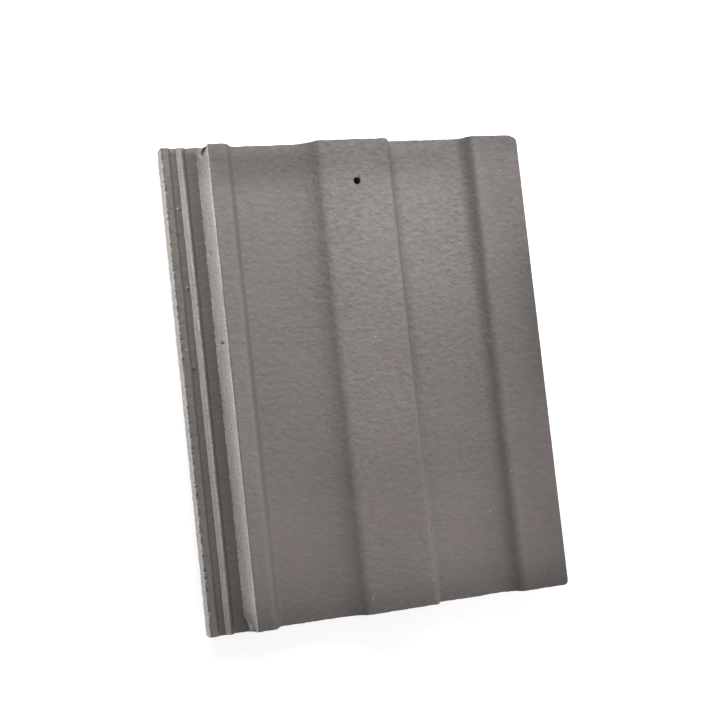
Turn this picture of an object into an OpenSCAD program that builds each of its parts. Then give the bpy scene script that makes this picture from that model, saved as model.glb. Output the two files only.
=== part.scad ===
// Interlocking concrete roof tile with two low rolls, lying on its nibs and weather bars.
// Millimetres. X runs across the tile, Y up the slope to the head, Z out of the weather face.

/* [Overall size] */
// length from the tail edge to the head edge
tile_l = 413; // [380:1:440]
// full width, lap included
tile_w = 330; // [280:1:380]
// thickness of the flat pans
body_t = 13; // [11:0.5:16]
// plan radius of the corners beside the underlock
lock_corner_r = 3; // [1:0.5:6]
// plan radius of the corner of the overlock at the tail
tail_corner_r = 5; // [2:0.5:9]
// plan radius of the corner of the overlock at the head
head_corner_r = 8; // [2:0.5:11]

/* [Rolls] */
// height of the rolls over the pans
roll_h = 14; // [11:0.5:16]
// width of the crest of the middle roll
crest_w = 64.2; // [58:0.2:70]
// width of the crest that shows beside the step
left_crest_w = 16.6; // [16:0.1:20]
// steepness of the sides of the rolls
side_deg = 63; // [58:1:66]
// radius between the crests and the sides of the rolls
side_crest_r = 7; // [2:0.5:9]
// radius between the pans and the sides that face the overlock
side_pan_r = 5; // [2:0.5:16]
// radius between the right pan and the roll over the overlock
right_pan_r = 13; // [4:0.5:18]
// steepness of the softer side of the middle roll, which faces the underlock
soft_deg = 52; // [45:1:58]
// radius between the crest and that softer side
soft_crest_r = 9; // [2:0.5:12]
// radius between the left pan and that softer side
soft_pan_r = 26; // [6:0.5:30]
// thickness at the crest of the middle roll
roll_t = 15; // [13:0.5:18]
// thickness through the sides of the rolls
wall_t = 10; // [9:0.25:10.5]
// radius at the top of the hollow under a roll
hollow_r = 4; // [2:0.5:5]
// radius at the mouth of the hollow under a roll
mouth_r = 4; // [2:0.5:8]

/* [Underlock] */
// depth of the rib tops below the crest
lock_drop = 10.5; // [9.5:0.25:11.5]
// height of the ribs over the channels
rib_h = 5.2; // [4:0.1:6]
// thickness under the channels
floor_t = 7.3; // [6:0.1:9]
// height of the outer edge face
edge_h = 9.3; // [8:0.1:10]
// lean of the outer edge face
edge_run = 1; // [0.5:0.1:2]
// width of the bevel below the outer edge face
edge_bevel_w = 5; // [3:0.5:8]
// width of the outer rib across its top
outer_rib_w = 7; // [6:0.1:8]
// width of the inner rib across its top
inner_rib_w = 2.2; // [2:0.1:3]
// lean of the rib sides
rib_run = 2.8; // [2:0.1:3]
// width of the outer channel across its floor
outer_channel_w = 5.2; // [5:0.1:6]
// width of the inner channel across its floor
inner_channel_w = 9.6; // [9:0.1:10.5]
// lean of the step up to the left roll
step_run = 6.3; // [5:0.1:7]
// radius along the top of the step
step_r = 3; // [1:0.25:4]
// radius along the ribs and channels
rib_r = 1; // [0.4:0.1:1]
// thickness from the step to the hollow behind it
step_t = 7.5; // [7:0.25:8]

/* [Overlock] */
// how far the lap reaches past the foot of the step beside it
lap_reach = 4; // [3:0.1:4.4]
// room between the laps, top to bottom
lap_gap = 0.9; // [0.5:0.1:1.5]
// room between the laps, side to side
side_gap = 1.2; // [0.8:0.1:1.4]
// lean of the outer face of the lap
lap_run = 4.8; // [4:0.1:6]
// height of the upright part of that face
lap_edge_h = 3; // [3:0.5:5]
// radius along the top edge of the lap
lap_r = 2; // [0.5:0.25:2.5]

/* [Nail hole] */
// bore of the nail hole
hole_d = 6; // [5:0.1:8]
// hole centre to the head edge
hole_from_head = 37.8; // [30:0.2:45]

/* [Nibs] */
// depth of the nibs below the pans
nib_depth = 10; // [8:0.5:14]
// width of a nib across its foot
nib_w = 40; // [25:1:46]
// length of a nib along the tile at its foot
nib_l = 16; // [12:0.5:24]
// nib foot to the head edge
nib_from_head = 6; // [4:0.5:12]
// lean of the sides of a nib
nib_run = 2.5; // [1:0.25:3.5]
// radius along the foot of a nib
nib_r = 2.5; // [1:0.25:3.5]

/* [Weather bars] */
// number of bars across the underside
bar_count = 3; // [1:1:4]
// depth of the bars below the pans
bar_depth = 10; // [8:0.5:14]
// thickness of a bar at its foot
bar_t = 6; // [4:0.5:9]
// lean of the sides of a bar
bar_run = 2; // [1:0.25:3]
// tail edge to the middle of the first bar
bar_from_tail = 14; // [11:0.5:20]
// distance from bar to bar
bar_pitch = 24; // [18:0.5:30]
// room over the roll of the course below
bar_gap = 2.5; // [1.5:0.25:3]
// shortfall of the bars at both ends
bar_end_gap = 4; // [3:0.5:8]

/* [Hidden] */
// how far cuts and joins run into or past the solid
overrun = 2;
// how far a corner's circle reaches past the edges it rounds off to
corner_reach = 0.02;
// turn of one flat along a rounded corner
flat_deg = 6;
// share of a roll's side that its two radii may take up
curve_share = 0.98;
$fn = 64;

foot_depth = max(nib_depth, bar_depth);

// levels over the pans
rib_z = roll_h - lock_drop;
channel_z = rib_z - rib_h;
lock_under_z = channel_z - floor_t;
edge_z = rib_z - edge_h;
roof_z = rib_z + lap_gap;
lap_foot_z = channel_z + lap_gap;
ceiling_z = roll_h - roll_t;

// positions across the underlock
outer_rib_x = edge_run + outer_rib_w;
outer_channel_x = outer_rib_x + rib_run;
inner_rib_foot_x = outer_channel_x + outer_channel_w;
inner_rib_x = inner_rib_foot_x + rib_run;
inner_rib_end_x = inner_rib_x + inner_rib_w;
inner_channel_x = inner_rib_end_x + rib_run;
step_foot_x = inner_channel_x + inner_channel_w;
step_x = step_foot_x + step_run;
step_hollow_x = step_x + step_t;

// width that one tile covers on the roof, and the crest edges of its rolls
cover_w = tile_w - step_foot_x - lap_reach;
pitch = cover_w / 2;
left_edge_x = step_x + left_crest_w;
roll_right_x = left_edge_x + pitch;
roll_left_x = roll_right_x - crest_w;
right_edge_x = roll_left_x + pitch;
roll_x = (roll_left_x + roll_right_x) / 2;

// how far a side of a roll lies from the crest edge at a level: outside, in the hollow and halfway between
function side_run(z, deg) = (roll_h - z) / tan(deg);
function wall_run(z, deg) = side_run(z, deg) - wall_t / sin(deg);
function mid_run(z, deg) = (side_run(z, deg) + wall_run(z, deg)) / 2;

// share of two radii that a side has room for
function side_fit(deg, r1, r2) = min(1, curve_share * roll_h / ((r1 + r2) * (1 - cos(deg))));
side_share = side_fit(side_deg, side_crest_r, side_pan_r);
right_share = side_fit(side_deg, side_crest_r, right_pan_r);
soft_share = side_fit(soft_deg, soft_crest_r, soft_pan_r);

// points along the arc that rounds corner b between a and c
function unit(v) = v / norm(v);
function arc_points(o, r, from, turn, count) =
    [for (i = [0 : count]) o + r * [cos(from + turn * i / count), sin(from + turn * i / count)]];
function round_corner(a, b, c, r) =
    let (u = unit(a - b))
    let (w = unit(c - b))
    let (half = acos(u * w) / 2)
    let (o = b + unit(u + w) * r / sin(half))
    let (start = b + u * r / tan(half) - o)
    let (side = u[0] * w[1] - u[1] * w[0])
    let (turn = (180 - 2 * half) * (side > 0 ? -1 : 1))
    arc_points(o, r, atan2(start[1], start[0]), turn, max(2, ceil(abs(turn) / flat_deg)));

// outline from corners given as [x, z, radius]
function xz(p) = [p[0], p[1]];
function rounded(corners) =
    let (n = len(corners))
    [for (i = [0 : n - 1])
        let (p = corners[i])
        let (before = xz(corners[(i + n - 1) % n]))
        let (after = xz(corners[(i + 1) % n]))
        each p[2] > 0 ? round_corner(before, xz(p), after, p[2]) : [xz(p)]];

// weather face, from the outer edge of the underlock to the edge of the overlock
face_corners = [
    [0, edge_z, 0],
    [edge_run, rib_z, rib_r],
    [outer_rib_x, rib_z, rib_r],
    [outer_channel_x, channel_z, rib_r],
    [inner_rib_foot_x, channel_z, rib_r],
    [inner_rib_x, rib_z, rib_r],
    [inner_rib_end_x, rib_z, rib_r],
    [inner_channel_x, channel_z, rib_r],
    [step_foot_x, channel_z, rib_r],
    [step_x, roll_h, step_r],
    [left_edge_x, roll_h, side_crest_r * side_share],
    [left_edge_x + side_run(0, side_deg), 0, side_pan_r * side_share],
    [roll_left_x - side_run(0, soft_deg), 0, soft_pan_r * soft_share],
    [roll_left_x, roll_h, soft_crest_r * soft_share],
    [roll_right_x, roll_h, side_crest_r * side_share],
    [roll_right_x + side_run(0, side_deg), 0, side_pan_r * side_share],
    [right_edge_x - side_run(0, side_deg), 0, right_pan_r * right_share],
    [right_edge_x, roll_h, side_crest_r * right_share],
    [tile_w, roll_h, lap_r],
];

// underside of the overlock, shaped to the ribs and channels of the next tile
lap_corners = [
    [tile_w, roll_h - lap_edge_h, rib_r],
    [tile_w - lap_run, lap_foot_z, rib_r],
    [cover_w + inner_channel_x + side_gap, lap_foot_z, rib_r],
    [cover_w + inner_rib_end_x + side_gap, roof_z, rib_r],
    [cover_w + inner_rib_x - side_gap, roof_z, rib_r],
    [cover_w + inner_rib_foot_x - side_gap, lap_foot_z, rib_r],
    [cover_w + outer_channel_x + side_gap, lap_foot_z, rib_r],
    [cover_w + outer_rib_x + side_gap, roof_z, rib_r],
    [right_edge_x - wall_run(roof_z, side_deg), roof_z, rib_r],
];

// underside of pans, hollows and underlock, back to the outer edge
under_corners = [
    [right_edge_x - wall_run(-body_t, side_deg), -body_t, mouth_r],
    [roll_right_x + wall_run(-body_t, side_deg), -body_t, mouth_r],
    [roll_right_x + wall_run(ceiling_z, side_deg), ceiling_z, hollow_r],
    [roll_left_x - wall_run(ceiling_z, soft_deg), ceiling_z, hollow_r],
    [roll_left_x - wall_run(-body_t, soft_deg), -body_t, mouth_r],
    [left_edge_x + wall_run(-body_t, side_deg), -body_t, mouth_r],
    [left_edge_x + wall_run(ceiling_z, side_deg), ceiling_z, hollow_r],
    [step_hollow_x, ceiling_z, hollow_r],
    [step_hollow_x - (ceiling_z - lock_under_z) / tan(soft_deg), lock_under_z, mouth_r],
    [edge_bevel_w, lock_under_z, rib_r],
];

// outline of a weather bar, cut out over the roll of the course below
bar_z = -body_t - bar_depth;
bar_rise = body_t + ceiling_z + overrun;
bar_start_x = left_edge_x + wall_run(-body_t, side_deg) + bar_end_gap;
bar_end_x = right_edge_x - wall_run(-body_t, side_deg) - bar_end_gap;
notch_h = roll_h + bar_gap;
notch_left_x = roll_left_x - side_run(0, soft_deg) - bar_gap / sin(soft_deg);
notch_right_x = roll_right_x + side_run(0, side_deg) + bar_gap / sin(side_deg);
bar_corners = [
    [bar_start_x, overrun - body_t, 0],
    [bar_start_x, bar_z, rib_r],
    [notch_left_x, bar_z, soft_pan_r * soft_share],
    [notch_left_x + notch_h / tan(soft_deg), bar_z + notch_h, mouth_r],
    [notch_right_x - notch_h / tan(side_deg), bar_z + notch_h, mouth_r],
    [notch_right_x, bar_z, side_pan_r * side_share],
    [bar_end_x, bar_z, rib_r],
    [bar_end_x, overrun - body_t, 0],
    [roll_right_x + mid_run(overrun - body_t, side_deg), overrun - body_t, 0],
    [roll_right_x + mid_run(overrun + ceiling_z, side_deg), overrun + ceiling_z, 0],
    [roll_left_x - mid_run(overrun + ceiling_z, soft_deg), overrun + ceiling_z, 0],
    [roll_left_x - mid_run(overrun - body_t, soft_deg), overrun - body_t, 0],
];

// prism along Y over an outline of X and Z
module along(length) {
    translate([0, length, 0])
        rotate([90, 0, 0])
            linear_extrude(height = length)
                children();
}

// foot with leaning sides, rounded along its lower edges, from rise above z = 0 to depth below it
function foot_corners(foot_w, depth, run, r, rise) = [
    [-foot_w / 2 - run * (depth + rise) / depth, rise, 0],
    [-foot_w / 2, -depth, r],
    [foot_w / 2, -depth, r],
    [foot_w / 2 + run * (depth + rise) / depth, rise, 0],
];

module section_body() {
    along(tile_l)
        polygon(rounded(concat(face_corners, lap_corners, under_corners)));
}

// what lies outside a rounded corner at the origin, reaching out to -X and -Y
module corner_waste(r) {
    translate([0, 0, -body_t - overrun])
        linear_extrude(height = body_t + roll_h + 2 * overrun)
            difference() {
                translate([-overrun, -overrun])
                    square(r + overrun);
                translate([r, r])
                    circle(r = r + corner_reach);
            }
}

module plan_corners() {
    corner_waste(lock_corner_r);
    translate([0, tile_l, 0])
        mirror([0, 1, 0])
            corner_waste(lock_corner_r);
    translate([tile_w, 0, 0])
        mirror([1, 0, 0])
            corner_waste(tail_corner_r);
    translate([tile_w, tile_l, 0])
        rotate([0, 0, 180])
            corner_waste(head_corner_r);
}

module nib() {
    translate([0, 0, -body_t])
        intersection() {
            translate([0, -nib_l, 0])
                along(2 * nib_l)
                    polygon(rounded(foot_corners(nib_w, nib_depth, nib_run, nib_r, overrun)));
            translate([-nib_w, 0, 0])
                rotate([0, 0, -90])
                    mirror([1, 0, 0])
                        along(2 * nib_w)
                            polygon(rounded(foot_corners(nib_l, nib_depth, nib_run, nib_r, overrun)));
        }
}

module nibs() {
    for (x = [roll_x - pitch / 2, roll_x + pitch / 2])
        translate([x, tile_l - nib_from_head - nib_l / 2, 0])
            nib();
}

// bar with its middle at y = 0
module weather_bar() {
    intersection() {
        translate([0, -bar_pitch / 2, 0])
            along(bar_pitch)
                polygon(rounded(bar_corners));
        translate([0, 0, -body_t])
            rotate([0, 0, 90])
                mirror([0, 1, 0])
                    along(tile_w)
                        polygon(rounded(foot_corners(bar_t, bar_depth, bar_run, rib_r, bar_rise)));
    }
}

module weather_bars() {
    for (i = [0 : bar_count - 1])
        translate([0, bar_from_tail + i * bar_pitch, 0])
            weather_bar();
}

module nail_hole() {
    translate([roll_x, tile_l - hole_from_head, ceiling_z - overrun])
        cylinder(d = hole_d, h = roll_t + 2 * overrun);
}

module roof_tile() {
    color([0.5, 0.49, 0.47])
        translate([-tile_w / 2, -tile_l / 2, body_t + foot_depth])
            difference() {
                union() {
                    section_body();
                    nibs();
                    weather_bars();
                }
                plan_corners();
                nail_hole();
            }
}

roof_tile();
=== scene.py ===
"""Grey interlocking concrete roof tile, lying on a pale studio floor.

The frame is in metres. Sizes and places on the tile are in mm: x from the underlock's outer edge,
y from the tail and z from the floor.
"""

import math
import random
from typing import NamedTuple

import bmesh
import bpy
import numpy as np
from mathutils import Matrix, Vector, noise


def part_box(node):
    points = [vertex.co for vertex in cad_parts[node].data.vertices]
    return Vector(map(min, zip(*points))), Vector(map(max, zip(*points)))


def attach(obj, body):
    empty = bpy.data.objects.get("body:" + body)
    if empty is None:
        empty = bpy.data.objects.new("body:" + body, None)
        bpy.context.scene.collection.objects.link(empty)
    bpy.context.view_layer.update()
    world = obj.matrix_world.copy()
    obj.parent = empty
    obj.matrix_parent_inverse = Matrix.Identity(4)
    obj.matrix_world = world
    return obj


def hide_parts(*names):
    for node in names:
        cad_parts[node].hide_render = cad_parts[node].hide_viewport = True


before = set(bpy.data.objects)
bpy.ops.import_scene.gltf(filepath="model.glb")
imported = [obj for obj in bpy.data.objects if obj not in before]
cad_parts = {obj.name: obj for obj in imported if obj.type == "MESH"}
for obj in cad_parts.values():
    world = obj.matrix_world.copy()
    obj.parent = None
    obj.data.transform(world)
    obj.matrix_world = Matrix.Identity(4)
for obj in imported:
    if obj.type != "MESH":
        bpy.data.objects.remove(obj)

MM = 0.001
X, Y, Z = 0, 1, 2
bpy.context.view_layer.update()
LOW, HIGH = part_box("roof_tile")
WIDTH = (HIGH.x - LOW.x) / MM
LENGTH = (HIGH.y - LOW.y) / MM
HEIGHT = (HIGH.z - LOW.z) / MM

# Places on the tile
INNER_RIB_X = 18.8
STEP_FOOT_X = 33.4
STEP_TOP_X = 39.7
UNDERLOCK_X = 42.0
RIGHT_ROLL_X = 250.0
CHANNEL_Z = 21.3
LOCK_UNDER_Z = 14.0
HOLE = (170.5, 375.2)
HOLE_R = 3.0

# Grid of the visible mesh: fine on the weather face and finer round its marks, wide below
ACROSS_PITCH = 2.4
RISE_PITCH = 1.5
FACE_ROW_PITCH = 2.7
EDGE_ROW_PITCH = 1.35
EDGE_STRIP = 3.0
UNDER_ROW_PITCH = 10.5
END_ROWS = (0.15, 0.4, 0.75, 1.2, 2.0)
MARK_CUTS = 2
MARK_EDGE = 0.5
MARK_REACH_SHARE = 1.3
BOX_SLACK = 1.0

# Tolerances and angles of the mesh
WELD = 0.005
CUT_TOL = 0.02
SPAN_TOL = 0.05
FLAT_DEG = 0.2
CORNER_DEG = 50
SMOOTH_DEG = 42

# Parts of a face's normal along z or x, by which faces are told apart
UP_LEAN = 0.05
SIDE_LEAN = 0.9
SIDE_DOWN_LEAN = -0.2
CUT_UP_LEAN = 0.3
CUT_SIDE_LEAN = 0.5
WEATHER_LEAN = (0.05, 0.4)


class Layer(NamedTuple):
    """Noise of a height, with cells of a size along x, y and z."""
    height: float
    cell: tuple
    seed: int


NOISE_TOP = 0.7
NOISE_SHIFT = (17.3, 9.1, 5.7)

# Unevenness of the pressed face and of the underside
SAG = Layer(0.12, (85, 60, 50), 1)
SAG_TOP = 1.0
RIPPLE = Layer(0.14, (7.5, 4.2, 6.0), 2)
UNDER_WAVE = Layer(0.12, (14, 14, 10), 3)
LONG_WANDER = Layer(0.4, (90, 24, 90), 4)
SHORT_WANDER = Layer(0.16, (60, 7, 60), 5)
WANDER_FROM_SIDE = 8.0

# Crumbled edges
CRUMBLE = 0.22
CRUMBLE_WAVE = Layer(0.3, (4, 4, 4), 6)
CRUMBLE_FROM_END = 2.0
CRUMBLE_FROM_HOLE = (HOLE_R + 0.5, HOLE_R + 2)

# Lips of mortar at the head ends of the channels
LIP_H = 1.2
LIP_L = 1.6
LIP_END_X = STEP_FOOT_X + 1
LIP_TOP_Z = CHANNEL_Z + 4
LIP_FADE = 3.0

# Sawn ends: arris, ragged line, the head's slant at the right and its break at the step
ARRIS_R = 0.5
ARRIS_WAVE = Layer(0.4, (7, 90, 30), 7)
ARRIS_GRAIN = Layer(0.4, (2.6, 90, 30), 8)
ARRIS_LIMITS = (0.2, 1.5)
RAG = 0.2
RAG_WAVE = Layer(0.4, (9, 200, 12), 9)
RAG_GRAIN = Layer(0.25, (2.6, 200, 5), 10)
RAG_REACH = 5.0
HEAD_SKEW = 1.4
HEAD_SKEW_X = (262, 312)
BREAK_X = 36.8
BREAK_R = 2.6
BREAK_DEPTH = 1.8
BREAK_Z = (CHANNEL_Z, CHANNEL_Z + 5)

# Worn corners of the overlock
HEAD_CORNER_R = 10.5
TAIL_CORNER_R = 5.5

# Serrated outer edge of the underlock
BITE = 0.25
BITE_WAVE = Layer(0.75, (40, 3.0, 5), 11)
BITE_GRAIN = Layer(0.5, (40, 1.3, 2.5), 12)
BITE_IN = 0.75
BITE_DOWN = 0.5
BITE_REACH = 4.0
BITE_Z = (LOCK_UNDER_Z, LOCK_UNDER_Z + 3)

# Step foot, worn away toward the tail
FOOT_WEAR = 5.8
FOOT_WEAR_Y = 18.0
FOOT_WEAR_X = (STEP_FOOT_X - 2, STEP_FOOT_X)

# Single marks on the weather face: x, y, radius and height
BEADS = (
    (13.2, 361, 1.9, 1.6),
    (11.4, 340, 1.5, 1.2),
    (14.0, 293, 1.9, 1.7),
    (11.4, 225, 2.3, 2.1),
)
STEP_PITS = ((36.2, 243, 1.8, -1.4), (35.0, 240.6, 1.2, -1.0), (34.8, 321, 1.3, -1.0))
MARK_POWER = 1.5

# Row of pits along the outer edge: least and greatest gap, x, radius and height
EDGE_PIT_SEED = 5
EDGE_PIT_GAPS = (6, 15)
EDGE_PIT_X = (1.8, 3.2)
EDGE_PIT_R = (0.9, 1.4)
EDGE_PIT_H = (-1.6, -0.9)
EDGE_PIT_FROM_HEAD = 8

# Chip out of the step at the head
CHIP_START = (37.9, 411.0)
CHIP_END = (36.1, 406.0)
CHIP_R = 1.3
CHIP_DEPTH = 2.6
CHIP_BOX = (STEP_FOOT_X - 1, CHIP_END[Y] - 2, UNDERLOCK_X, LENGTH - 1)


def edge_pits():
    """Small pits along the outer edge of the underlock, each as x, y, radius and height."""
    chance = random.Random(EDGE_PIT_SEED)
    pits = []
    y = chance.uniform(*EDGE_PIT_GAPS)
    while y < LENGTH - EDGE_PIT_FROM_HEAD:
        x = chance.uniform(*EDGE_PIT_X)
        r = chance.uniform(*EDGE_PIT_R)
        h = chance.uniform(*EDGE_PIT_H)
        pits.append((x, y, r, h))
        y += chance.uniform(*EDGE_PIT_GAPS)
    return pits


MARKS = (*BEADS, *STEP_PITS, *edge_pits())


# The tile's mesh

def to_tile(points):
    """Points of the frame as places on the tile."""
    return (points - np.array(LOW)) / MM


def from_tile(points):
    """Places on the tile as points of the frame."""
    return points * MM + np.array(LOW)


def cut(bm, faces, axis, place):
    """Cuts the faces along a plane across one axis."""
    geom = set(faces)
    for f in faces:
        geom.update(f.edges)
        geom.update(f.verts)
    normal = Vector((0, 0, 0))
    normal[axis] = 1
    point = Vector(LOW)
    point[axis] += place * MM
    bmesh.ops.bisect_plane(
        bm, geom=list(geom), plane_co=point, plane_no=normal, dist=CUT_TOL * MM)


def reach(face, axis):
    """Least and greatest place of a face along one axis."""
    places = [(v.co[axis] - LOW[axis]) / MM for v in face.verts]
    return min(places), max(places)


def spans(face, axis, place):
    low, high = reach(face, axis)
    return low < place - SPAN_TOL and high > place + SPAN_TOL


def steps(start, end, pitch):
    """Places between start and end, about a pitch apart, without the two ends."""
    return np.linspace(start, end, max(2, round((end - start) / pitch) + 1))[1:-1]


def is_weather_face(face):
    upright = abs(face.normal.x) > SIDE_LEAN and face.normal.z > SIDE_DOWN_LEAN
    return face.normal.z > UP_LEAN or upright


def is_sawn_end(face):
    low, high = reach(face, Y)
    return high < SPAN_TOL or low > LENGTH - SPAN_TOL


def divide_rows(bm, faces, pitch):
    """Divides the faces' edges along the tile, so that its rows lie about a pitch apart."""
    by_parts = {}
    for e in {e for f in faces for e in f.edges}:
        run = (e.verts[1].co - e.verts[0].co) / MM
        parts = round(abs(run.y) / pitch)
        if parts > 1 and math.hypot(run.x, run.z) < SPAN_TOL:
            by_parts.setdefault(parts, []).append(e)
    for parts, edges in sorted(by_parts.items()):
        bmesh.ops.subdivide_edges(bm, edges=edges, cuts=parts - 1, use_grid_fill=True)
    bm.normal_update()


def weather_faces(bm, boxes):
    """Faces of the weather side with their middle in one of the boxes of x0, y0, x1, y1."""
    faces = [f for f in bm.faces if is_weather_face(f)]
    middles = to_tile(np.array([f.calc_center_median() for f in faces]))
    inside = np.zeros(len(faces), bool)
    for x0, y0, x1, y1 in boxes:
        above = middles > (x0, y0, LOCK_UNDER_Z)
        below = middles < (x1, y1, HEIGHT + BOX_SLACK)
        inside |= (above & below).all(axis=1)
    return [faces[i] for i in np.nonzero(inside)[0]]


def mark_box(x, y, r):
    margin = MARK_REACH_SHARE * r
    return x - margin, y - margin, x + margin, y + margin


def gridded_tile(source):
    """Copy of the solid's mesh, cut into a grid that is fine on the weather face."""
    bm = bmesh.new()
    bm.from_mesh(source.data)
    bmesh.ops.remove_doubles(bm, verts=bm.verts, dist=WELD * MM)
    bmesh.ops.dissolve_limit(
        bm, angle_limit=math.radians(FLAT_DEG), verts=bm.verts, edges=bm.edges)
    bm.normal_update()
    for x in steps(0, WIDTH, ACROSS_PITCH):
        faces = [f for f in bm.faces if f.normal.z > CUT_UP_LEAN or is_sawn_end(f)]
        cut(bm, [f for f in faces if spans(f, X, x)], X, x)
    for z in steps(0, HEIGHT, RISE_PITCH):
        faces = [f for f in bm.faces if abs(f.normal.x) > CUT_SIDE_LEAN or is_sawn_end(f)]
        cut(bm, [f for f in faces if spans(f, Z, z)], Z, z)
    head_rows = [LENGTH - row for row in END_ROWS]
    for y in [*END_ROWS, *head_rows, *steps(0, LENGTH, UNDER_ROW_PITCH)]:
        cut(bm, [f for f in bm.faces if spans(f, Y, y)], Y, y)
    bm.normal_update()
    divide_rows(bm, weather_faces(bm, [(0, 0, WIDTH, LENGTH)]), FACE_ROW_PITCH)
    divide_rows(bm, weather_faces(bm, [(-BOX_SLACK, 0, EDGE_STRIP, LENGTH)]), EDGE_ROW_PITCH)
    boxes = [*(mark_box(x, y, r) for x, y, r, _ in MARKS), CHIP_BOX]
    edges = {e for f in weather_faces(bm, boxes) for e in f.edges}
    long_edges = [e for e in edges if e.calc_length() > MARK_EDGE * MM]
    bmesh.ops.subdivide_edges(bm, edges=long_edges, cuts=MARK_CUTS, use_grid_fill=True)
    bmesh.ops.triangulate(bm, faces=[f for f in bm.faces if len(f.verts) > 4])
    bm.normal_update()
    return bm


def on_sharp_edge(bm):
    """1 for each point on an edge where two faces meet at a corner, else 0."""
    sharp = np.zeros(len(bm.verts))
    bm.verts.index_update()
    for e in bm.edges:
        if e.is_manifold and e.calc_face_angle() > math.radians(CORNER_DEG):
            for v in e.verts:
                sharp[v.index] = 1
    return sharp


def ramp(value, start, end):
    """Smooth step from 0 at start to 1 at end."""
    t = np.clip((value - start) / (end - start), 0, 1)
    return t * t * (3 - 2 * t)


class Surface:
    """Points of the plain section, moved step by step to the uneven cast surface."""

    def __init__(self, points, outward, sharp):
        self.points = points
        self.x, self.y, self.z = points.T
        self.outward = outward
        self.sharp = sharp
        self.weather = ramp(outward[:, Z], *WEATHER_LEAN)
        self.from_end = np.minimum(self.y, LENGTH - self.y)
        self.moved = points.copy()
        self.hollow = np.zeros(len(points))

    def noise_at(self, layer):
        """Smooth noise at each point, about NOISE_TOP up or down."""
        cells = self.points / np.asarray(layer.cell, float) + np.array(NOISE_SHIFT) * layer.seed
        return np.array([noise.noise(c) for c in cells])

    def wave(self, layer):
        """Height of a layer at each point, up or down."""
        return layer.height * self.noise_at(layer)

    def dip(self, layer, top=NOISE_TOP):
        """Depth of a layer that stays below the plain surface."""
        return layer.height * (top - self.noise_at(layer))

    def sink(self, depth):
        self.moved -= self.outward * depth[:, None]

    def press_faces(self):
        """Slow unevenness of the pressed face, and the ripples that the slipper leaves on it."""
        self.sink((self.dip(SAG, SAG_TOP) + self.dip(RIPPLE)) * self.weather)
        self.sink(self.dip(UNDER_WAVE) * (1 - self.weather))

    def wander_lines(self):
        """Long lines wander a little from side to side."""
        from_side = np.minimum(self.x, WIDTH - self.x)
        aside = self.wave(LONG_WANDER) + self.wave(SHORT_WANDER)
        self.moved[:, X] += aside * self.weather * ramp(from_side, 0, WANDER_FROM_SIDE)

    def crumble_edges(self):
        """Edges are blunt and crumbled, but for the rim of the nail hole."""
        from_hole = np.hypot(self.x - HOLE[X], self.y - HOLE[Y])
        depth = CRUMBLE + self.wave(CRUMBLE_WAVE)
        depth = self.sharp * ramp(self.from_end, 0, CRUMBLE_FROM_END) * depth
        self.sink(depth * ramp(from_hole, *CRUMBLE_FROM_HOLE))

    def drag_lips(self):
        """Lips of dragged mortar half close the channels at the head."""
        channel = (self.x < LIP_END_X) * ramp(LIP_TOP_Z - self.z, 0, LIP_FADE)
        at_head = ramp(self.y, LENGTH - LIP_L, LENGTH)
        self.moved[:, Z] += LIP_H * channel * self.weather * at_head

    def saw_ends(self):
        """Sawn ends have a rounded arris and a ragged line."""
        arris = ARRIS_R + self.wave(ARRIS_WAVE) + self.wave(ARRIS_GRAIN)
        arris = np.clip(arris, *ARRIS_LIMITS)
        inside = np.clip(arris - self.from_end, 0, None)
        drop = arris - np.sqrt(np.clip(arris ** 2 - inside ** 2, 0, None))
        self.moved[:, Z] -= drop * self.weather
        at_head = self.y > LENGTH / 2
        broken = np.exp(-((self.x - BREAK_X) / BREAK_R) ** 4)
        rag = RAG + self.wave(RAG_WAVE) + self.wave(RAG_GRAIN)
        rag += at_head * HEAD_SKEW * ramp(self.x, *HEAD_SKEW_X)
        rag += at_head * BREAK_DEPTH * broken * ramp(self.z, *BREAK_Z)
        inward = np.where(at_head, -1, 1)
        fading = 1 - ramp(self.from_end, 0, RAG_REACH)
        self.moved[:, Y] += inward * np.clip(rag, 0, None) * fading

    def round_corners(self):
        """Corners of the overlock are worn round."""
        for r, outward, end in ((HEAD_CORNER_R, 1, LENGTH), (TAIL_CORNER_R, -1, 0)):
            off = np.column_stack((self.x - WIDTH, outward * (self.y - end)))
            off = np.clip(off + r, 0, None)
            over = np.linalg.norm(off, axis=1)
            back_share = np.clip(over - r, 0, None) / np.maximum(over, r)
            self.moved[:, :Z] -= off * (1, outward) * back_share[:, None]

    def serrate_edge(self):
        """The outer edge of the underlock is bitten into a serrated line."""
        bite = np.clip(BITE + self.wave(BITE_WAVE) + self.wave(BITE_GRAIN), 0, 1)
        edge = (1 - ramp(self.x, 0, BITE_REACH)) * ramp(self.z, *BITE_Z)
        self.moved[:, X] += BITE_IN * bite * edge
        self.moved[:, Z] -= BITE_DOWN * bite * edge * self.weather

    def wear_foot(self):
        """The foot of the step is worn away toward the tail."""
        down_step = ramp(STEP_TOP_X - self.x, 0, STEP_TOP_X - STEP_FOOT_X)
        worn = ramp(FOOT_WEAR_Y - self.y, 0, FOOT_WEAR_Y) * down_step
        self.moved[:, X] += FOOT_WEAR * worn * ramp(self.x, *FOOT_WEAR_X) * self.weather

    def add_marks(self):
        """Beads of mortar stand up, and pits go down."""
        for x, y, r, h in MARKS:
            away = np.hypot(self.x - x, self.y - y)
            height = h * np.clip(1 - (away / r) ** 2, 0, 1) ** MARK_POWER * self.weather
            self.sink(-height)
            greater = np.abs(height) > np.abs(self.hollow)
            self.hollow = np.where(greater, -height, self.hollow)

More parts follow.
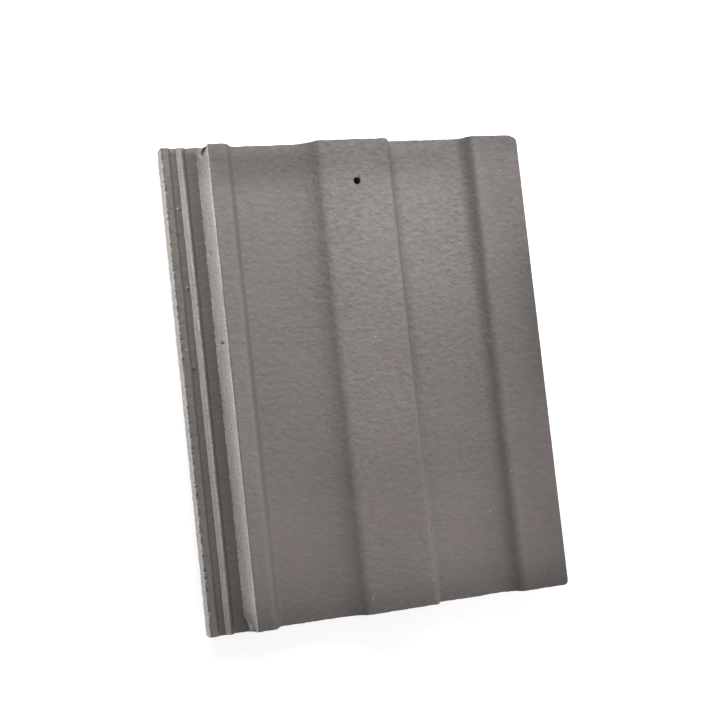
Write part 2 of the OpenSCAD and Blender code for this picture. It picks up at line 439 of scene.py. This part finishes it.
    def chip_step(self):
        """A chip is knocked out of the step at the head."""
        start, end = np.array(CHIP_START), np.array(CHIP_END)
        run = end - start
        off = self.points[:, :Z] - start
        along = np.clip(off @ run / (run @ run), 0, 1)
        away = np.linalg.norm(off - along[:, None] * run, axis=1)
        chip = CHIP_DEPTH * np.clip(1 - (away / CHIP_R) ** 2, 0, 1) * self.weather
        self.sink(chip)
        self.hollow = np.maximum(self.hollow, chip)


def cast_surface(points, outward, sharp):
    """Points of the cast surface inside the solid's box, and how deep in a mark each one lies."""
    surface = Surface(points, outward, sharp)
    surface.press_faces()
    surface.wander_lines()
    surface.crumble_edges()
    surface.drag_lips()
    surface.saw_ends()
    surface.round_corners()
    surface.serrate_edge()
    surface.wear_foot()
    surface.add_marks()
    surface.chip_step()
    return np.clip(surface.moved, 0, (WIDTH, LENGTH, HEIGHT)), surface.hollow


def build_tile():
    bm = gridded_tile(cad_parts["roof_tile"])
    points = to_tile(np.array([v.co for v in bm.verts]))
    outward = np.array([v.normal for v in bm.verts])
    points, hollow = cast_surface(points, outward, on_sharp_edge(bm))
    mesh = bpy.data.meshes.new("tile")
    bm.to_mesh(mesh)
    bm.free()
    mesh.vertices.foreach_set("co", from_tile(points).ravel())
    mesh.attributes.new("hollow", "FLOAT", "POINT").data.foreach_set("value", hollow)
    mesh.update()
    for p in mesh.polygons:
        p.use_smooth = True
    mesh.set_sharp_from_angle(angle=math.radians(SMOOTH_DEG))
    tile = bpy.data.objects.new("tile", mesh)
    bpy.context.scene.collection.objects.link(tile)
    below = tile.vertex_groups.new(name="below")
    below.add(np.nonzero(outward[:, Z] < UP_LEAN)[0].tolist(), 1.0, "REPLACE")
    normals = tile.modifiers.new("normals", "WEIGHTED_NORMAL")
    normals.keep_sharp = True
    normals.vertex_group = below.name
    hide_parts("roof_tile")
    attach(tile, "root")
    print("tile triangles", sum(len(p.vertices) - 2 for p in mesh.polygons))
    return tile


# Materials

SPOT_CORE_SHARE = 0.4


class Graph:
    """Builds a material's nodes; a value is a number, a colour or another node's output."""

    def __init__(self, name):
        self.material = bpy.data.materials.new(name)
        self.material.use_nodes = True
        self.nodes = self.material.node_tree.nodes
        self.links = self.material.node_tree.links
        self.nodes.clear()

    def add(self, kind, inputs=None, **settings):
        node = self.nodes.new("ShaderNode" + kind)
        for name, value in settings.items():
            setattr(node, name, value)
        for name, value in (inputs or {}).items():
            if isinstance(value, bpy.types.NodeSocket):
                self.links.new(value, node.inputs[name])
            else:
                node.inputs[name].default_value = value
        return node

    def math(self, operation, *values):
        return self.add("Math", dict(enumerate(values)), operation=operation).outputs[0]

    def ramp(self, value, start, end):
        """Smooth step from 0 at start to 1 at end."""
        inputs = {"Value": value, "From Min": start, "From Max": end}
        return self.add("MapRange", inputs, interpolation_type="SMOOTHSTEP").outputs[0]

    def within(self, value, limits):
        """Ramp between two limits; with four, it falls back to 0 between the last two."""
        rising = self.ramp(value, *limits[:2])
        if len(limits) == 2:
            return rising
        fade, end = limits[2:]
        return self.both(rising, self.ramp(value, end, fade))

    def both(self, *masks):
        product = masks[0]
        for mask in masks[1:]:
            product = self.math("MULTIPLY", product, mask)
        return product

    def either(self, *masks):
        most = masks[0]
        for mask in masks[1:]:
            most = self.math("MAXIMUM", most, mask)
        return most

    def near(self, vector, spot, radius):
        """1 at a spot, falling to 0 at the radius."""
        away = self.add("VectorMath", {0: vector, 1: spot}, operation="DISTANCE")
        return self.ramp(away.outputs["Value"], radius, 0)

    def shaded(self, value, shades):
        """The value, raised or lowered by a share for each pair of a mask and a share."""
        for mask, share in shades:
            factor = self.math("MULTIPLY_ADD", mask, share, 1.0)
            value = self.math("MULTIPLY", value, factor)
        return value

    def mix(self, factor, first, second):
        return self.add("Mix", {0: factor, 6: first, 7: second}, data_type="RGBA").outputs[2]

    def dab(self, colour, mask, share, paint):
        """The colour with paint on it, as strong as a share of the mask."""
        return self.mix(self.math("MULTIPLY", mask, share), colour, paint)

    def scale_colour(self, colour, factor):
        return self.add("VectorMath", {0: colour, "Scale": factor}, operation="SCALE").outputs[0]

    def cells(self, vector, size):
        """Coordinates counted in cells of the given size along x, y and z."""
        return self.add("VectorMath", {0: vector, 1: size}, operation="DIVIDE").outputs[0]

    def noise(self, vector, size, detail):
        """Noise about zero, in cells of the given size along x, y and z."""
        inputs = {"Vector": self.cells(vector, size), "Scale": 1.0, "Detail": detail}
        return self.math("SUBTRACT", self.add("TexNoise", inputs).outputs[0], 0.5)

    def spots(self, vector, size, radius_share, share):
        """Round spots, 1 in the middle: a share of the cells of the given size hold one."""
        inputs = {"Vector": self.cells(vector, (size, size, size)), "Scale": 1.0}
        cell = self.add("TexVoronoi", inputs)
        pick = self.add("SeparateXYZ", {0: cell.outputs["Color"]}).outputs[0]
        chosen = self.math("LESS_THAN", pick, share)
        near = self.ramp(cell.outputs["Distance"], radius_share, radius_share * SPOT_CORE_SHARE)
        return self.math("MULTIPLY", near, chosen)


COAT_GREY = (0.2145, 0.1968, 0.1866, 1)
COAT_PINK = (0.2235, 0.1955, 0.1880, 1)
LOCK_TINT = (0.208, 0.187, 0.174, 1)
RAW_PALE = (0.77, 0.733, 0.695, 1)
RAW_DARK = (0.57, 0.538, 0.507, 1)
RAW_MID = (0.42, 0.404, 0.386, 1)
# pale specks of the concrete, also painted as a highlight on the beads
SPECK_AND_BEAD_HIGHLIGHT = (0.5, 0.48, 0.46, 1)
# dark painted into pits, hollows and the nail hole as shade, and into the line inside the outer
# edge
PIT_SHADE = (0.07, 0.063, 0.058, 1)
ROUGHNESS = 0.86
SPECULAR = 0.25

# Noise in the concrete: cell along x, y and z, and detail
NOISES = {
    "wrinkle": ((5.5, 4.2, 4.6), 1.7),
    "blotch": ((6.0, 2.9, 3.5), 1.8),
    "fine": ((2.0, 1.7, 1.8), 1.0),
    "grain": ((0.9, 0.9, 0.9), 2.0),
    "patch": ((60, 60, 60), 1.0),
    "broad": ((130, 100, 90), 1.0),
    "pink": ((22, 22, 22), 1.0),
    "ragged": ((1.3, 1.4, 1.8), 3.0),
    "streak": ((0.9, 16, 0.9), 1.0),
    "raw_grain": ((1.4, 1.6, 1.4), 3.0),
    "line_breaks": ((6, 2.6, 6), 1.5),
}

# Spots in the concrete: cell, radius as a share of it, and the share of cells that hold a spot
SPOTS = {
    "pits": (6, 0.13, 0.3),
    "specks": (19, 0.055, 0.6),
    "channel_specks": (6, 0.07, 0.4),
    "raw_pits": (4, 0.18, 0.14),
}

# Borders of regions: where a mask starts and where it is full, then where it fades and ends
LOCK_BORDER = (UNDERLOCK_X, UNDERLOCK_X - 2)
ROLLS_BORDER = (UNDERLOCK_X - 2, UNDERLOCK_X)
OVER_LAP_BORDER = (RIGHT_ROLL_X, RIGHT_ROLL_X + 2)
MIDDLE_ROLL = (150, 160, 215, 225)
CHANNEL_TOP = (CHANNEL_Z + 4, CHANNEL_Z + 1)
INNER_CHANNEL = (INNER_RIB_X, INNER_RIB_X + 1, STEP_FOOT_X - 1, STEP_FOOT_X)
OUTER_EDGE = (3.5, 2)
OUTER_FACE = (WIDTH - 12, WIDTH - 8)
LOCK_LEFT_FACES = (INNER_RIB_X + 1, INNER_RIB_X)

# Parts of the normal from which a face counts as one that looks that way
TO_LEFT = (-0.25, -0.7)
TO_RIGHT = (0.25, 0.7)
STEEP = (0.15, 0.6)
LEFT_BARE = (-0.3, -0.7)
END_BARE = (0.6, 0.85)
OUTER_BARE = (0.38, 0.24)
UNDER_BARE = (0.0, -0.25)

# Bare concrete on the weather face: how far its borders stray, and where they lie
STRAY = 2.6
STEP_TOP_STRAY = 1.2
EDGE_STRAY = 5.0
STEP_FOOT_BORDER = (STEP_FOOT_X - 0.9, STEP_FOOT_X + 0.9)
STEP_TOP_BORDER = (STEP_TOP_X + 0.8, STEP_TOP_X - 0.1)
FOOT_BARE_SHARE = 0.6
RIB_LEFT_BORDER = (INNER_RIB_X - 1.0, INNER_RIB_X - 0.5)
RIB_RIGHT_BORDER = (INNER_RIB_X + 1.7, INNER_RIB_X - 0.8)
RIB_BARE_Y = (-40, 100, 300, 440)
EDGE_BORDER = (2.4, 1.2)
EDGE_BARE_SHARE = 0.6


class Shade(NamedTuple):
    """Share by which a tone rises or falls in named regions, within limits given as borders."""
    share: float
    on: tuple = ()
    x: tuple = ()
    y: tuple = ()
    from_end: tuple = ()


# Strength of the coat's texture: it grows toward the head and to the right
TAIL_TEXTURE = 0.68
HEAD_TEXTURE_GAIN = 0.84
TEXTURE_RUN_SHARE = 0.8
LEFT_TEXTURE = 0.84
RIGHT_TEXTURE_GAIN = 0.34
TEXTURE_TURN_X = (110, 150)
PATCH_TEXTURE = 0.9
TEXTURE_SHADES = (Shade(-0.07, x=(205, 225)), Shade(-0.1, x=(275, 295)))

# Shares of the noises in the coat's tone; the mottle follows the strength of the texture
MOTTLE = (("wrinkle", 0.14), ("blotch", 0.28), ("fine", 0.2))
COAT_GRAIN = (("grain", 0.12), ("broad", 0.18))

# Paler patches of the coat: the one on the right pan is a painted pool of light, the other lies
# on the middle roll's crest; middle, radius and share
LIT_AND_PALE_PATCHES = (((232, 335, 30), 130, 0.13), ((165, 185, 37), 90, 0.09))

COAT_SHADES = (
    # darker toward both ends
    Shade(-0.16, on=("rolls",), from_end=(34, -6)),
    Shade(-0.16, on=("rolls",), y=(26, -4)),
    # dark band across the tile near the head
    Shade(-0.16, on=("rolls",), x=(290, 255), y=(366, 392, 399, 410)),
    Shade(-0.11, x=(40, 50, 115, 135), y=(366, 392, 402, 414)),
    Shade(-0.08, x=(180, 190, 202, 208), y=(366, 392, 406, 418)),
    # pale band above the tail
    Shade(0.08, y=(18, 50, 80, 130)),
    Shade(0.06, x=(190, 210, 265, 275), y=(18, 50, 80, 130)),
    # right roll, darker toward the overlock's edge
    Shade(-0.13, x=(270, 315)),
    Shade(-0.07, x=(280, 290), y=(140, 200, 280, 330)),
    Shade(-0.07, x=(280, 290), y=(44, 14)),
    Shade(-0.21, x=(305, 328), y=(130, 220, 280, 350)),
    Shade(-0.08, x=(305, 328), y=(10, 20, 70, 110)),
    # painted shade on the right roll's left-facing slope, deeper toward the head
    Shade(-0.08, on=("to_left", "over_lap")),
    Shade(-0.13, on=("to_left", "over_lap"), y=(200, 360)),
    # left roll, pale along the middle of its crest, with painted shade along its right-facing
    # side and foot
    Shade(0.12, x=(40, 43, 54, 58), y=(90, 140, 210, 260)),
    Shade(-0.09, x=(54, 58, 62, 66), y=(6, 20, 360, 390)),
    # right side of the middle roll: a painted shadow along its steep side and foot, and painted
    # light on its right-facing side, growing toward the tail
    Shade(-0.13, x=(202, 206, 211, 217), y=(130, 200, 390, 405)),
    Shade(0.1, on=("to_right", "middle_roll"), y=(260, 0)),
    Shade(0.14, on=("to_right", "middle_roll"), y=(14, 4)),
    # underlock: painted shade on its right-facing faces and in its channels, a darker strip along
    # the outer edge away from the ends, and lips at the head painted paler
    # painted shade on the right-facing sides of the ribs
    Shade(-0.2, on=("to_right", "lock")),
    Shade(-0.09, x=(10, 8), from_end=(10, 40)),
    # painted shade in the channels, fading out at the head
    Shade(-0.32, on=("channel",), y=(LENGTH - 2, LENGTH - 6)),
    # painted light on the lips, which face away from the lamp
    Shade(0.8, on=("channel",), y=(LENGTH - 2.5, LENGTH - 1.2)),
    # the outer channel's painted shade is a little lighter
    Shade(0.07, on=("channel",), x=(INNER_RIB_X, INNER_RIB_X - 1)),
)

# Pink tinge of the coat, stronger toward the tail
PINK_Y = (330, 0)
PINK_GAIN = 0.2
PINK_LEVELS = (0.05, 0.28)

# Bare concrete, palest along the outer edge and the top of the step; the step's paler top is
# painted light, where its face turns up toward the lamp
RAW_TONE = 0.97
RAW_LEVELS = (-0.2, 0.16)
STREAK_SHARE = 0.5
RAW_SHADES = (
    # painted light: the step grows paler toward its top
    Shade(0.22, x=(STEP_FOOT_X, STEP_TOP_X)),
    Shade(0.1, x=(36, 39), y=(280, 150)),
    Shade(0.05, x=(4, 6, 28, 30)),
    Shade(-0.25, x=(28, 32), y=(375, 400)),
    Shade(-0.1, x=(32, 28), y=(375, 400)),
    Shade(-0.18, x=(3, 5), y=(30, 4)),
    Shade(0.2, x=OUTER_EDGE),
    Shade(0.16, x=OUTER_EDGE, y=(400, 100)),
)

# Marks: how strong each one's colour is, and where it lies; pits, hollows and the nail hole get
# painted shade, beads a painted highlight
SPECK_SHARE = 0.7
CHANNEL_SPECK_SHARE = 0.6
PIT_SHADE_SHARE = 0.45
RAW_PIT_SHADE_SHARE = 0.7
EDGE_LINE_SHARE = 0.5
EDGE_LINE_X = (1.2, 1.9, 3.2, 4.2)
EDGE_LINE_LEVELS = (0.0, 0.1)
HOLLOW_SHADE_SHARE = 0.8
HOLLOW_SHADE_DEPTHS = (0.4, 1.4)
BEAD_HIGHLIGHT_SHARE = 0.5
BEAD_HIGHLIGHT_DEPTHS = (-0.8, -1.6)
HOLE_BORDER = (HOLE_R + 0.5, HOLE_R)

# Relief: heights of the noises and depths of the pits; bare and steep faces are smoother
WRINKLES = (("wrinkle", 0.74), ("fine", 0.15))
RELIEF_GRAIN = (("grain", 0.05),)
BARE_RELIEF = -0.7
STEEP_RELIEF = -0.4
PIT_DEPTH = 0.25
RAW_PIT_DEPTH = 0.4


class Concrete(Graph):
    """Pigmented coat on the weather face; bare paler concrete on steep, sawn and hidden faces."""

    def __init__(self):
        super().__init__("concrete")
        metres = self.add("TexCoord").outputs["Object"]
        scaled = self.add("VectorMath", {0: metres, "Scale": 1 / MM}, operation="SCALE")
        moved = self.add("VectorMath", {0: scaled.outputs[0], 1: Vector(LOW) / -MM})
        self.place = moved.outputs[0]
        self.x, self.y, self.z = self.add("SeparateXYZ", {0: self.place}).outputs
        normal = self.add("NewGeometry").outputs["Normal"]
        self.facing = self.add("SeparateXYZ", {0: normal}).outputs
        self.from_end = self.math("MINIMUM", self.y, self.math("SUBTRACT", LENGTH, self.y))
        self.noises = {name: self.noise(self.place, *values) for name, values in NOISES.items()}
        self.dots = {name: self.spots(self.place, *values) for name, values in SPOTS.items()}
        self.regions = self.find_regions()
        self.strayed = self.stray(STRAY)
        self.hidden = self.find_hidden()
        self.bare = self.either(self.hidden, *self.find_worn())
        self.strength = self.find_strength()

    def find_regions(self):
        lock = self.within(self.x, LOCK_BORDER)
        channel_floors = self.both(self.within(self.z, CHANNEL_TOP), lock)
        return {
            "lock": lock,
            "rolls": self.within(self.x, ROLLS_BORDER),
            "over_lap": self.within(self.x, OVER_LAP_BORDER),
            "middle_roll": self.within(self.x, MIDDLE_ROLL),
            "channel": self.either(channel_floors, self.within(self.x, INNER_CHANNEL)),
            "to_left": self.within(self.facing[X], TO_LEFT),
            "to_right": self.within(self.facing[X], TO_RIGHT),
        }

    def stray(self, reach):
        """x, straying to both sides along a ragged line."""
        return self.math("MULTIPLY_ADD", self.noises["ragged"], reach, self.x)

    def find_hidden(self):
        """Mask of the sawn ends, the overlock's outer face and the underside."""
        ends = self.within(self.math("ABSOLUTE", self.facing[Y]), END_BARE)
        outer_face = self.both(
            self.within(self.facing[Z], OUTER_BARE), self.within(self.x, OUTER_FACE))
        below = self.within(self.facing[Z], UNDER_BARE)
        return self.either(ends, outer_face, below)

    def find_worn(self):
        """Masks of the step, the inner rib, the outer edge and the underlock's left faces."""
        tail = self.ramp(self.y, FOOT_WEAR_Y, 0)
        foot = self.math("MULTIPLY_ADD", tail, -FOOT_BARE_SHARE * FOOT_WEAR, self.strayed)
        step = self.both(
            self.within(foot, STEP_FOOT_BORDER),
            self.within(self.stray(STEP_TOP_STRAY), STEP_TOP_BORDER))
        rib = self.both(
            self.within(self.strayed, RIB_RIGHT_BORDER),
            self.within(self.x, RIB_LEFT_BORDER),
            self.within(self.y, RIB_BARE_Y))
        edge = self.within(self.stray(EDGE_STRAY), EDGE_BORDER)
        edge = self.math("MULTIPLY", edge, EDGE_BARE_SHARE)
        left_faces = self.both(
            self.within(self.facing[X], LEFT_BARE), self.within(self.x, LOCK_LEFT_FACES))
        return step, rib, edge, left_faces

    def find_strength(self):
        """How strong the coat's texture is."""
        toward_head = self.ramp(self.y, 0, TEXTURE_RUN_SHARE * LENGTH)
        along = self.math("MULTIPLY_ADD", toward_head, HEAD_TEXTURE_GAIN, TAIL_TEXTURE)
        toward_right = self.within(self.x, TEXTURE_TURN_X)
        across = self.math("MULTIPLY_ADD", toward_right, RIGHT_TEXTURE_GAIN, LEFT_TEXTURE)
        strength = self.math("MULTIPLY", along, across)
        strength = self.shaded(strength, self.shade_masks(TEXTURE_SHADES))
        return self.math("MULTIPLY_ADD", self.noises["patch"], PATCH_TEXTURE, strength)

    def shade_masks(self, shades):
        """Pair of a mask and a share for each shade."""
        pairs = []
        for shade in shades:
            masks = [self.regions[name] for name in shade.on]
            limits = ((self.x, shade.x), (self.y, shade.y), (self.from_end, shade.from_end))
            masks += [self.within(value, borders) for value, borders in limits if borders]
            pairs.append((self.both(*masks), shade.share))
        return pairs

    def layered(self, value, shares):
        """The value, with a share of each named noise added."""
        for name, share in shares:
            value = self.math("MULTIPLY_ADD", self.noises[name], share, value)
        return value

    def coat(self):
        tone = self.math("MULTIPLY_ADD", self.layered(0.0, MOTTLE), self.strength, 1.0)
        tone = self.layered(tone, COAT_GRAIN)
        # a painted pool of light on the right pan, and a paler patch on the middle roll's crest
        lit_and_pale_patches = [(self.near(self.place, middle, r), share) for middle, r, share in LIT_AND_PALE_PATCHES]
        tone = self.shaded(tone, [*lit_and_pale_patches, *self.shade_masks(COAT_SHADES)])
        toward_tail = self.within(self.y, PINK_Y)
        pink = self.math("MULTIPLY_ADD", toward_tail, PINK_GAIN, self.noises["pink"])
        colour = self.mix(self.within(pink, PINK_LEVELS), COAT_GREY, COAT_PINK)
        colour = self.mix(self.regions["lock"], colour, LOCK_TINT)
        colour = self.dab(colour, self.dots["specks"], SPECK_SHARE, SPECK_AND_BEAD_HIGHLIGHT)
        colour = self.scale_colour(colour, tone)
        channel_specks = self.both(self.dots["channel_specks"], self.regions["channel"])
        return self.dab(colour, channel_specks, CHANNEL_SPECK_SHARE, SPECK_AND_BEAD_HIGHLIGHT)

    def bare_concrete(self):
        grain = self.layered(self.noises["raw_grain"], (("streak", STREAK_SHARE),))
        colour = self.mix(self.within(grain, RAW_LEVELS), RAW_DARK, RAW_PALE)
        tone = self.shaded(RAW_TONE, self.shade_masks(RAW_SHADES))
        colour = self.scale_colour(colour, tone)
        colour = self.mix(self.hidden, colour, RAW_MID)
        # painted shade in the pits of the bare concrete
        return self.dab(colour, self.dots["raw_pits"], RAW_PIT_SHADE_SHARE, PIT_SHADE)

    def marked(self, colour):
        """The colour with painted shade in pits, hollows and the nail hole, a dark line inside
        the outer edge, and painted highlights on beads.
        """
        # painted shade in the pits
        colour = self.dab(colour, self.dots["pits"], PIT_SHADE_SHARE, PIT_SHADE)
        edge_line = self.both(
            self.within(self.strayed, EDGE_LINE_X),
            self.within(self.noises["line_breaks"], EDGE_LINE_LEVELS))
        colour = self.dab(colour, edge_line, EDGE_LINE_SHARE, PIT_SHADE)
        hollow = self.add("Attribute", attribute_name="hollow").outputs["Fac"]
        # painted shade in the hollows of pits and the chip, and a painted highlight on the beads
        colour = self.dab(colour, self.within(hollow, HOLLOW_SHADE_DEPTHS), HOLLOW_SHADE_SHARE, PIT_SHADE)
        colour = self.dab(colour, self.within(hollow, BEAD_HIGHLIGHT_DEPTHS), BEAD_HIGHLIGHT_SHARE, SPECK_AND_BEAD_HIGHLIGHT)
        # painted shade filling the nail hole, fading over half a millimetre round it
        level = self.add("VectorMath", {0: self.place, 1: (1, 1, 0)}, operation="MULTIPLY")
        from_hole = self.add(
            "VectorMath", {0: level.outputs[0], 1: (*HOLE, 0)}, operation="DISTANCE")
        painted_hole_shade = self.within(from_hole.outputs["Value"], HOLE_BORDER)
        return self.mix(painted_hole_shade, colour, PIT_SHADE)

    def relief(self):
        """Normal of the wrinkled, grainy and pitted surface."""
        steep = self.within(self.math("ABSOLUTE", self.facing[X]), STEEP)
        smoother = ((self.bare, BARE_RELIEF), (steep, STEEP_RELIEF))
        strength = self.shaded(self.strength, smoother)
        height = self.math("MULTIPLY", self.layered(0.0, WRINKLES), strength)
        height = self.layered(height, RELIEF_GRAIN)
        height = self.math("MULTIPLY_ADD", self.dots["pits"], -PIT_DEPTH, height)
        raw_pits = self.both(self.dots["raw_pits"], self.bare)
        height = self.math("MULTIPLY_ADD", raw_pits, -RAW_PIT_DEPTH, height)
        return self.add("Bump", {"Height": height, "Distance": MM, "Strength": 1.0}).outputs[0]


def concrete():
    g = Concrete()
    colour = g.marked(g.mix(g.bare, g.coat(), g.bare_concrete()))
    shader = g.add("BsdfPrincipled", {
        "Base Color": colour,
        "Normal": g.relief(),
        "Roughness": ROUGHNESS,
        "Specular IOR Level": SPECULAR,
    })
    g.add("OutputMaterial", {"Surface": shader.outputs[0]})
    return g.material


# Floor, light and camera

FLOOR_SIZE = 12
FLOOR_TONE = (0.8, 0.8, 0.8, 1)
FLOOR_GLOW = 0.72
WORLD_TONE = (1, 1, 1, 1)
WORLD_LEVEL = 0.25

# Lamps, in metres
KEY_PLACE = (0.02, 0.52, 0.52)
KEY_POWER = 6.4
KEY_SIZE = (1.0, 0.35)
FILL_PLACE = (0.9, -0.55, 0.3)
FILL_POWER = 3.0
FILL_SIZE = (0.6, 0.4)
AIM = (0.0, 0.02, 0.03)

# Camera: its place in mm of the frame, and its directions
EYE = (-408.03, -56.70, 1165.60)
VIEW_RIGHT = (0.939513, -0.109224, 0.324632)
VIEW_AHEAD = (0.331977, 0.057095, -0.941558)
LENS = 69.2
SENSOR = 36


def build_floor():
    """Pale floor that looks white to the camera and keeps the tile's shadow."""
    bpy.ops.mesh.primitive_plane_add(size=FLOOR_SIZE)
    floor = bpy.context.object
    floor.name = "floor"
    g = Graph("pale_floor")
    path = g.add("LightPath").outputs
    seen = g.either(path["Is Camera Ray"], path["Is Glossy Ray"], path["Is Transmission Ray"])
    glow = g.add("Emission", {"Strength": g.math("MULTIPLY", seen, FLOOR_GLOW)})
    diffuse = g.add("BsdfDiffuse", {"Color": FLOOR_TONE})
    both = g.add("AddShader", {0: diffuse.outputs[0], 1: glow.outputs[0]})
    g.add("OutputMaterial", {"Surface": both.outputs[0]})
    floor.data.materials.append(g.material)


def build_lamp(name, place, power, size):
    data = bpy.data.lights.new(name, "AREA")
    data.shape = "RECTANGLE"
    data.size, data.size_y = size
    data.energy = power
    lamp = bpy.data.objects.new(name, data)
    bpy.context.scene.collection.objects.link(lamp)
    lamp.location = place
    lamp.rotation_mode = "QUATERNION"
    lamp.rotation_quaternion = (Vector(AIM) - lamp.location).to_track_quat("-Z", "Y")
    lamp.visible_camera = False


def build_world():
    world = bpy.data.worlds.new("studio")
    bpy.context.scene.world = world
    world.use_nodes = True
    background = world.node_tree.nodes["Background"]
    background.inputs["Color"].default_value = WORLD_TONE
    background.inputs["Strength"].default_value = WORLD_LEVEL


def build_camera():
    """Camera at the photograph's viewing angle, fitted to the tile's outline."""
    data = bpy.data.cameras.new("camera")
    data.sensor_width = SENSOR
    data.lens = LENS
    camera = bpy.data.objects.new("camera", data)
    bpy.context.scene.collection.objects.link(camera)
    ahead = Vector(VIEW_AHEAD).normalized()
    up = Vector(VIEW_RIGHT).cross(ahead).normalized()
    pose = Matrix((ahead.cross(up), up, -ahead)).transposed().to_4x4()
    pose.translation = Vector(EYE) * MM
    camera.matrix_world = pose
    bpy.context.scene.camera = camera


tile = build_tile()
tile.data.materials.clear()
tile.data.materials.append(concrete())
build_floor()
build_world()
build_lamp("key", KEY_PLACE, KEY_POWER, KEY_SIZE)
build_lamp("fill", FILL_PLACE, FILL_POWER, FILL_SIZE)
build_camera()
bpy.context.scene.view_settings.view_transform = "Standard"
